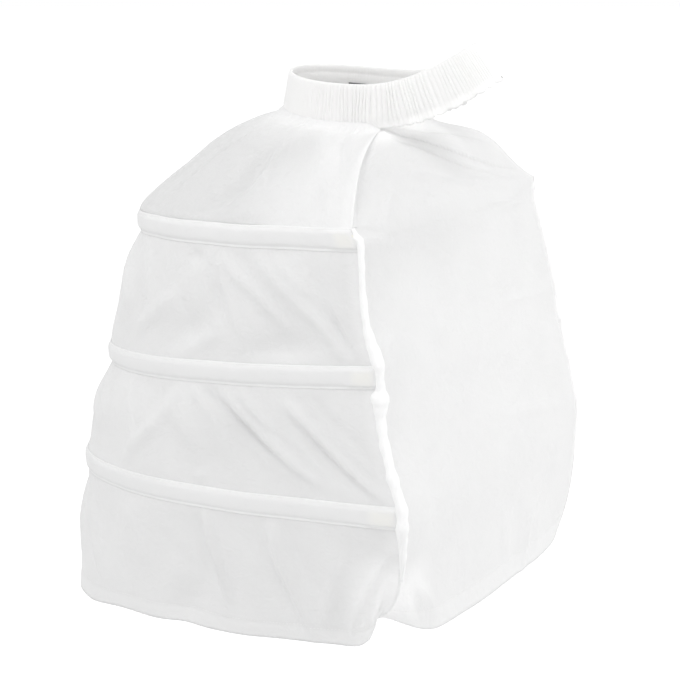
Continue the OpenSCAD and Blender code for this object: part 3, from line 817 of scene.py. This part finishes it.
# Painted light whitens the panel's near foot, where it is also bunched, and its top under the waist loop, over
# the loop's shadow.
near_foot_bunching_and_painted_light = soft_step((row_chart - 3.2) / 0.4)[:, None] * soft_step((0.075 - panel_width + across) / 0.06)
loop_shadow_painted_light = soft_step((0.40 - row_chart) / 0.30)[:, None] * soft_step(panel_u / 0.5)
loop_shadow_painted_light = loop_shadow_painted_light * soft_step((0.99 - panel_u) / 0.2)
panel_layers_and_painted_light = np.maximum(panel_layers_and_painted_light, np.maximum(near_foot_bunching_and_painted_light, loop_shadow_painted_light))
panel = make_sheet("front_panel_cloth", panel_points, panel_uv, outward_down=False, layers_and_painted_light=panel_layers_and_painted_light,
                   painted_shade=panel_painted_shade)
panel.data.materials.append(skirt_cotton)

# %% [markdown]
# ## The hoop casings
# Each hoop runs in a strip of the same cotton, turned under and sewn along both edges. The strip rises over
# the hoop, dips at the two stitch lines and ends in a thin folded lip. One profile of the strip, repeated
# along the hoop, gives all of that. Each line of it has its place across the strip, its height over the hoop
# and its height over the thicker tip.

# %% Make the three casings
casing_profile = [
    (0.505, 0.0005, 0.0005), (0.49, 0.0009, 0.0009), (0.46, 0.0011, 0.0011), (0.425, 0.0010, 0.0011),
    (0.385, 0.0016, 0.0026), (0.335, 0.0028, 0.0046), (0.29, 0.0036, 0.0051), (0.24, 0.0040, 0.0052),
    (0.12, 0.0042, 0.0053), (0.0, 0.0042, 0.0053), (-0.12, 0.0042, 0.0053), (-0.24, 0.0040, 0.0052),
    (-0.29, 0.0035, 0.0051), (-0.335, 0.0027, 0.0044), (-0.375, 0.0019, 0.0028), (-0.405, 0.0015, 0.0018),
    (-0.43, 0.0015, 0.0015), (-0.465, 0.0014, 0.0014), (-0.495, 0.0010, 0.0010), (-0.51, 0.0004, 0.0004)]
profile_share = np.array([share for share, _, _ in casing_profile])
end_press = soft_step(to_seam / 0.004)
tip_zone = soft_step((0.042 - to_seam) / 0.012)
edge_white = soft_step((np.abs(profile_share) - 0.36) / 0.06)[:, None]
on_crown = soft_step((0.42 - np.abs(profile_share)) / 0.25)[:, None]
over_tip = 0.3 * soft_step((0.036 - to_seam) / 0.014) * soft_step((to_seam - 0.003) / 0.006)
casings = {}
for order, name in enumerate(("upper", "middle", "lower")):
    rows = []
    for share, plain, over in casing_profile:
        across_strip = np.full(column_count, share * 2 * casing_half)
        wrinkle = ripple(hem_across, across_strip, 60 + order, (0.09, 0.05, 0.028), 0.00025)
        wander = ripple(hem_across, np.zeros(column_count), 70 + order, (0.23, 0.12), 0.0004)
        out = plain + (over - plain) * tip_zone
        raised = 0.0006 + (out - 0.0006) * end_press + wrinkle * (1 if abs(share) < 0.4 else 0.2)
        rows.append(ring(name, column_t, across_strip + wander, raised))
    strip = np.stack(rows)
    strip_uv = np.stack(np.meshgrid(hem_across, -rows_down(strip)), -1)
    casings[name] = make_sheet(name + "_casing_cloth", strip, strip_uv, 0.0006,
                               layers_and_painted_light=np.maximum(edge_white, 2 * on_crown * over_tip),
                               tinge=on_crown * over_tip)
    casings[name].data.materials.append(casing_cotton)

# %% [markdown]
# ## The gathered waistband
# The band is a strip folded over a flat elastic. Where the elastic is slack the cloth stands in fine upright
# ribs; at the back it is stretched smooth. A Wave modifier would make every rib alike, so the ribs get uneven
# widths and heights from a seeded list, and each one wanders a little on its way up.

# %% Lay out the ribs
rib_count = 164
samples_per_rib = 6
rib_height = 0.0022
rng = np.random.default_rng(81)
rib_widths = rng.uniform(0.65, 1.35, rib_count)
rib_edges = np.concatenate([[0], np.cumsum(rib_widths)]) / rib_widths.sum()
rib_heights = rng.uniform(0.5, 1.15, rib_count)
band_columns = rib_count * samples_per_rib
phase = np.arange(band_columns) / samples_per_rib
loop_q = -2 * np.pi * np.interp(phase, np.arange(rib_count + 1), rib_edges)
rib_bow = np.abs(np.sin(np.pi * phase)) ** 0.75 * rib_heights[phase.astype(int)]
slackness = soft_step((0.8 - np.cos(loop_q)) / 0.7)
slackness = slackness * (1 - 0.75 * soft_step((-np.cos(loop_q) - 0.3) / 0.6))
from_front = np.abs(loop_q % (2 * np.pi) - np.pi)
free_edge = soft_step((np.pi - yoke_reach - from_front) / math.radians(20))
rib_lift = rib_height * rib_bow * slackness
loop_run = run_along(band(loop_q))
print("ribs:", rib_count, "columns:", band_columns, "loop", round(loop_run[-1], 3), "m")

# %% [markdown]
# ## The band's section
# Each row of the list is one line round the band: where it lies on the sewn back half, where it lies on the
# free front half, how much the ribs lift it and how much the frill waves it. On the back half the outer layer
# is pressed onto the yoke. On the front half both layers meet at the lowest stitch line and the frill hangs
# below it in small round scallops, raised a little at the far side of the tip.

# %% List the lines of the band's section
face = 0.0022
foot = -band_half
band_section = [
    ((0.0004, foot - 0.0010), (face + 0.0006, foot - 0.0016), 0.5, 1.0),
    ((0.0008, foot + 0.0006), (face + 0.0004, foot + 0.0004), 0.5, 0.8),
    ((0.0012, foot + 0.0030), (face, foot + 0.0026), 0.55, 0.4),
    ((0.0017, foot + 0.0058), (face * 0.8, foot + 0.0050), 0.5, 0.0),
    ((face * 0.95, foot + 0.0085), (face * 0.95, foot + 0.0080), 0.8, 0.0)]
both_halves = [
    (face, -0.011, 0.95), (face, -0.006, 1.0), (face, 0.0, 1.05), (face, 0.006, 1.0), (face, 0.012, 0.95),
    (face, 0.0175, 0.8), (face * 0.95, 0.0215, 0.65), (face * 0.7, 0.0235, 0.45), (0.0, 0.0242, 0.2),
    (-face * 0.7, 0.0235, -0.1), (-face * 0.95, 0.0215, -0.15), (-face, 0.0165, -0.15),
    (-face + 0.0005, 0.0150, -0.05), (-face, 0.0135, -0.15), (-face, 0.008, -0.2), (-face, 0.0025, -0.15),
    (-face + 0.0005, 0.001, -0.05), (-face, -0.0005, -0.15), (-face, -0.008, -0.2), (-face, -0.013, -0.15)]
band_section += [((out, up), (out, up), rib, 0.0) for out, up, rib in both_halves]
band_section += [((-face, foot + 0.0065), (-face, foot + 0.0080), -0.15, 0.0),
                 ((-face * 0.9, foot + 0.0020), (-face * 0.4, foot + 0.0056), -0.1, 0.0),
                 ((-0.0008, foot + 0.0002), (face * 0.3, foot + 0.0050), 0.0, 0.0)]
print("lines round the band:", len(band_section))

# %% Sweep the section round the loop
scallop_width, scallop_drop = 0.0125, 0.0026
frill_sway, frill_raise = 0.0014, 0.005
scallop = np.abs(np.cos(np.pi * (loop_run / scallop_width + 0.3 * np.sin(loop_run / 0.016)))) ** 0.7
sway = np.sin(np.pi * loop_run / scallop_width + 1.3 * np.sin(loop_run / 0.03))
far_tip = soft_step((-np.cos(loop_q) - 0.45) / 0.3) * (np.sin(loop_q) > 0)
band_rows = []
for sewn, free, rib, frill in band_section:
    pressed = 1 - 0.6 * (frill > 0) * (1 - free_edge)
    outs = sewn[0] + (free[0] - sewn[0]) * free_edge
    outs = outs + rib * pressed * rib_lift + frill * free_edge * frill_sway * sway
    ups = sewn[1] + (free[1] - sewn[1]) * free_edge
    ups = ups + frill * free_edge * (frill_raise * far_tip - scallop_drop * scallop)
    wander = 0.012 * np.sin(loop_q * 9 + 0.7) * math.sin(free[1] * 90)
    wander = wander + 0.006 * np.sin(loop_q * 23 + free[1] * 140)
    band_rows.append(band(loop_q + wander * slackness * 0.5, outs, ups))
band_grid = np.stack(band_rows)
middle_line = 6
band_run = run_along(band_grid[middle_line])
band_down = rows_down(band_grid)
band_uv = np.stack(np.meshgrid(band_run, band_down), -1)
# Painted light whitens the band's inner face, and painted shade greys the band towards its front tip.
inside = np.array([1.0 if free[0] < 0 else 0.0 for _, free, _, _ in band_section])
tip_painted_shade = 0.12 * soft_step((-np.cos(loop_q) - 0.2) / 0.6)
waistband = make_sheet("waistband_cloth", band_grid, band_uv, closed=True,
                       layers_and_painted_light=np.tile(inside[:, None], (1, band_columns)),
                       painted_shade=np.tile(tip_painted_shade, (len(band_grid), 1)))
band_cotton = cotton("band_cotton", (0.95, 0.946, 0.938), shade=0.02, thin=0.3, crease=0.1,
                     double_and_painted_light_colour=(0.96, 0.955, 0.945))
waistband.data.materials.append(band_cotton)
print("band strip", round(band_down[-1], 3), "by", round(band_run[-1], 3), "m along its ribs")

# %% [markdown]
# ## The elastic
# Inside the folded band runs a flat woven elastic. Only its lower edge can be seen, from below. It is a plain
# strip with a ribbed weave.

# %% Make the elastic
elastic_width, elastic_length, elastic_thickness = 0.030, 0.60, 0.0016
elastic_columns, elastic_rows = 240, 13
elastic_q = -2 * np.pi * np.arange(elastic_columns) / elastic_columns
elastic_up = band_half - 0.0023 - elastic_width * np.arange(elastic_rows) / (elastic_rows - 1)
elastic_grid = np.stack([band(elastic_q, 0.0, np.full(elastic_columns, up)) for up in elastic_up])
elastic_uv = np.stack(np.meshgrid(np.linspace(0, elastic_length, elastic_columns),
                                  np.linspace(elastic_width, 0, elastic_rows)), -1)
elastic = make_sheet("elastic_strip", elastic_grid, elastic_uv, elastic_thickness, closed=True)
elastic.data.materials.append(cotton("elastic_weave", (0.88, 0.88, 0.87), pitch=0.0016, grain=0.6, shade=0.04,
                                     sheen=0.1, crease=0.05))

# %% [markdown]
# ## The label
# A small dark tape is sewn inside the band. It is left blank. It curves with the band and its lower end is a
# little loose.

# %% Make the label
label_place = math.radians(58)
label_width, label_drop, label_top = 0.018, 0.024, 0.004
label_columns, label_rows = 13, 17
loop_radius_there = 0.075
label_q = label_place + np.linspace(-1, 1, label_columns) * label_width / 2 / loop_radius_there
label_up = np.linspace(label_top, label_top - label_drop, label_rows)
label_in = 0.0052 + 0.0012 * ((label_top - label_up) / label_drop) ** 2
label_grid = np.stack([band(label_q, np.full(label_columns, -depth), np.full(label_columns, up))
                       for depth, up in zip(label_in, label_up)])
label_uv = np.stack(np.meshgrid(np.linspace(0, label_width, label_columns), label_up), -1)
label = make_sheet("blank_label", label_grid, label_uv, 0.0004)
label.data.materials.append(cotton("label_tape", (0.13, 0.13, 0.14), pitch=0.0005, grain=0.4, shade=0.15,
                                   sheen=0.2, crease=0.05))

# %% [markdown]
# ## The bound side seams
# Where skirt and panel meet, a bright tape is folded round both edges. It is full and lumpy, with a knob just
# below the middle hoop. A tube that is open towards the cloth follows the skirt's edge, and its width changes
# along the way.

# %% Set the tape's widths and unevenness
seam_white = cotton("seam_tape", (0.94, 0.94, 0.94), pitch=0.0009, grain=0.3, shade=0.015, sheen=0.35, thin=0.1,
                    crease=0.2)
rows_below_hoop = 17
tape_opening = math.radians(140)
tape_places, tape_columns = 210, 33
# Places along the seam in metres from its top, and the tape's width there, listed in millimetres.
stations = np.array([0, 0.008, 0.0135, 0.019, 0.027, 0.065, 0.110, 0.135, 0.150, 0.164, 0.174, 0.186, 0.193,
                     0.200, 0.207, 0.216, 0.254, 0.299, 0.324, 0.349, 0.374, 0.414])
widths = np.array([3, 5, 12, 9, 6, 6, 7.5, 12, 13, 11, 8.5, 9, 16, 19, 16, 10, 10, 11, 12, 12, 8, 3]) / 1000


def uneven(seed, place, turns):
    rng = np.random.default_rng(seed)
    lumps = sum(np.cos(2 * np.pi * place / length + rng.uniform(0, 6)) for length in (0.017, 0.029, 0.047))
    crease = 0
    for k in (2, 3, 5):
        twist = 2 * np.pi * place[:, None] / rng.uniform(0.018, 0.06)
        crease = crease + np.cos(k * turns[None] + twist + rng.uniform(0, 6))
    return (1 + 0.05 * lumps)[:, None] * (1 + 0.055 * crease)


print("widest place of the tape:", widths.max(), "m")


# %% Make the two bindings
def binding(name, column, seed, fullness, away):
    above = casing_rows("upper", 5, casing_half, 0.0005)[:, column]
    below = skirt_grid[:len(skirt_grid) - flounce_rows + rows_below_hoop, column]
    path = np.concatenate([above, below])
    run = run_along(path)
    place = np.linspace(0, run[-1], tape_places)
    line = eased(walk(path, run, place), 12)
    width = fullness * np.interp(place, stations * run[-1] / stations[-1], widths)
    side = 1 if column == 0 else -1
    outside = math.radians(-45 if side == 1 else 225)
    turns = outside + np.linspace(-tape_opening, tape_opening, tape_columns)
    flatness = 0.86 + 0.14 * np.abs(np.sin(turns - outside))
    radius = width[:, None] / 2 * uneven(seed, place, turns) * flatness[None]
    x = radius * np.cos(turns)[None] + away * side
    y = radius * np.sin(turns)[None] - away
    grid = line[:, None] + np.stack([x, y, np.zeros_like(x)], -1)
    uv = np.stack(np.meshgrid((turns - turns[0]) * 0.0055, -place), -1)
    tape = make_sheet(name, grid, uv, 0.0006)
    tape.data.materials.append(seam_white)
    print(name, "runs", round(run[-1], 3), "m")
    return tape


left_binding = binding("left_side_binding_tape", 0, 91, 0.7, -0.0018)
right_binding = binding("right_side_binding_tape", -1, 92, 1.0, 0.001)

# %% [markdown]
# ## Stitches
# Each casing is held by two rows of stitches, and the hem by one. One stitch is a tiny grain of thread made
# from a sphere. Its few faces are copied along each row and turned to follow it. Blender can list a sphere's
# faces in another order on each run, so they are sorted first.

# %% Model one stitch
bpy.ops.object.select_all(action="DESELECT")
bpy.ops.mesh.primitive_uv_sphere_add(segments=6, ring_count=4, radius=0.5)
grain = bpy.context.object
bpy.ops.transform.resize(value=(1.0, 0.2, 0.16))
bpy.ops.object.transform_apply(location=True, rotation=True, scale=True)
grain_points = np.array([v.co[:] for v in grain.data.vertices])
grain_faces = sorted(list(p.vertices) for p in grain.data.polygons)
bpy.data.objects.remove(grain)
print("faces of one stitch:", len(grain_faces))


# %% Sew rows of stitches
def sew(name, routes, finish, pitch=0.0042, length=0.0030):
    points, faces = [], []
    for route, outward in routes:
        run = run_along(route)
        for place in np.arange(pitch / 2, run[-1], pitch):
            along = unit(walk(route, run, place + 0.001) - walk(route, run, place - 0.001))
            facing = walk(outward, run, place)
            facing = unit(facing - along * np.dot(facing, along))
            side = np.cross(facing, along)
            start = len(points)
            turned = grain_points @ np.stack([along, side, facing])
            points += (walk(route, run, place) + length * turned).tolist()
            faces += [[start + i for i in polygon] for polygon in grain_faces]
    mesh = bpy.data.meshes.new(name)
    mesh.from_pydata(points, [], faces)
    thread = bpy.data.objects.new(name, mesh)
    bpy.context.scene.collection.objects.link(thread)
    thread.data.materials.append(finish)
    for polygon in mesh.polygons:
        polygon.use_smooth = True
    print(name, "has", len(faces) // len(grain_faces), "stitches")
    return thread


# %% Finish the thread and sew the casings and the hem
thread_finish, thread_tree, thread_shader = new_finish("white_thread")
thread_place = add_node(thread_tree, "ShaderNodeTexCoord")
twist = add_node(thread_tree, "ShaderNodeTexNoise", links={"Vector": thread_place.outputs["Object"]},
                 Scale=2500, Detail=2)
thread_tone = add_node(thread_tree, "ShaderNodeValToRGB", links={0: twist.outputs["Fac"]})
thread_tone.color_ramp.elements[0].color = (0.80, 0.80, 0.80, 1)
thread_tone.color_ramp.elements[1].color = (0.93, 0.93, 0.92, 1)
thread_tree.links.new(thread_tone.outputs["Color"], thread_shader.inputs["Base Color"])
thread_shader.inputs["Roughness"].default_value = 0.55
thread_shader.inputs["Sheen Weight"].default_value = 0.2

stitch_line = 0.415 * 2 * casing_half
casing_thread_out, hem_thread_out = 0.0012, 0.0004
seam_routes = []
for name in casings:
    for up in (stitch_line, -stitch_line):
        seam_routes.append((ring(name, column_t, up, casing_thread_out), hoop_outward(name, column_t)))
casing_stitches = sew("casing_stitches", seam_routes, thread_finish)
hem_routes = []
for points, normals, row in (
        (skirt_points, skirt_normals, np.argmin(np.abs(hem_distance - hem_seam)) - flounce_rows),
        (panel_points, panel_normals, np.argmin(np.abs(panel_hem[:, 0] - hem_seam)))):
    hem_routes.append((points[row] + hem_thread_out * normals[row], normals[row]))
hem_stitches = sew("hem_stitches", hem_routes, thread_finish)

# %% [markdown]
# ## Hoops and tips
# The half hoops are flat coated strips and their ends wear cream plastic sleeves. The CAD solids already have
# the right shape, so they stay and only get finishes: a faint grain along the strip and a slightly uneven
# gloss on the plastic.

# %% Finish the strips and the tips
def coated(name, low, high, roughness, scale):
    finish, tree, shader = new_finish(name)
    place = add_node(tree, "ShaderNodeTexCoord")
    noise = add_node(tree, "ShaderNodeTexNoise", links={"Vector": place.outputs["Object"]},
                     Scale=scale, Detail=4)
    tone = add_node(tree, "ShaderNodeValToRGB", links={0: noise.outputs["Fac"]})
    tone.color_ramp.elements[0].color = (*low, 1)
    tone.color_ramp.elements[1].color = (*high, 1)
    tree.links.new(tone.outputs["Color"], shader.inputs["Base Color"])
    rough = add_node(tree, "ShaderNodeMapRange", links={0: noise.outputs["Fac"]},
                     To_Min=roughness - 0.08, To_Max=roughness + 0.08)
    tree.links.new(rough.outputs[0], shader.inputs["Roughness"])
    bump = add_node(tree, "ShaderNodeBump", links={"Height": noise.outputs["Fac"]},
                    Strength=0.15, Distance=0.0003)
    tree.links.new(bump.outputs[0], shader.inputs["Normal"])
    return finish


strip_finish = coated("coated_strip", (0.74, 0.74, 0.73), (0.82, 0.82, 0.81), 0.5, 350)
tip_finish = coated("cream_sleeve", (0.80, 0.78, 0.66), (0.85, 0.83, 0.72), 0.38, 220)
for name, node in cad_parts.items():
    kept = strip_finish if name.endswith("_hoop") else tip_finish if name.endswith("_tip") else None
    if kept:
        node.data.materials.clear()
        node.data.materials.append(kept)
print("strips and tips finished")

# %% [markdown]
# ## Hand over
# Every piece rides on the one body and stands for the CAD solid it replaces.

pieces = [
    (skirt, ["back_skirt"], "white_cotton"), (yoke, ["back_yoke"], "white_cotton"),
    (panel, ["front_panel"], "white_cotton"), (waistband, ["waistband"], "gathered_cotton"),
    (elastic, ["waist_elastic"], "elastic"), (label, ["size_label"], "label_tape"),
    (casings["upper"], ["upper_casing"], "casing_cotton"),
    (casings["middle"], ["middle_casing"], "casing_cotton"),
    (casings["lower"], ["lower_casing"], "casing_cotton"), (left_binding, ["left_side_binding"], "seam_tape"),
    (right_binding, ["right_side_binding"], "seam_tape"), (casing_stitches, [], "seam_tape"),
    (hem_stitches, [], "seam_tape")]
for piece, nodes, slot in pieces:
    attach(piece, "root")
    if nodes:
        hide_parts(*nodes)
print("pieces declared:", len(pieces))
